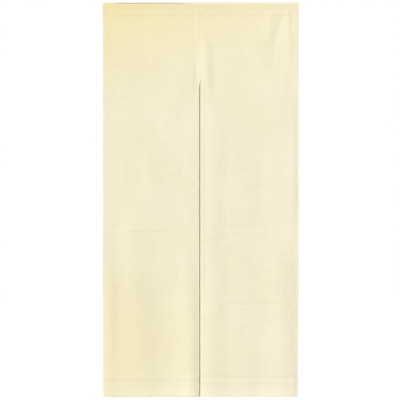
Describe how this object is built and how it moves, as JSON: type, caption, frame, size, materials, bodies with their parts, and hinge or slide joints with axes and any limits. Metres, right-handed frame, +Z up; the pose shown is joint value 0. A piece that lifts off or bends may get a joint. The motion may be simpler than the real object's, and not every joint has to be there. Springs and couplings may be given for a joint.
{
  "type": "noren curtain",
  "caption": "Doorway curtain of plain natural cloth, hemmed all round, split up the middle from the bottom edge, with a rod pocket along its top.",
  "frame": {"origin": "on the axis of the rod pocket at the top edge, half way along it", "axes": "+X along the rod pocket, to the right as seen from the front; the front faces -Y; +Z up"},
  "size_m": [0.842, 0.0189, 1.7],
  "materials": {
    "natural_cloth": "matt plain weave, undyed ecru"
  },
  "bodies": {
    "root": {"left_panel": "natural_cloth", "right_panel": "natural_cloth"}
  },
  "joints": []
}
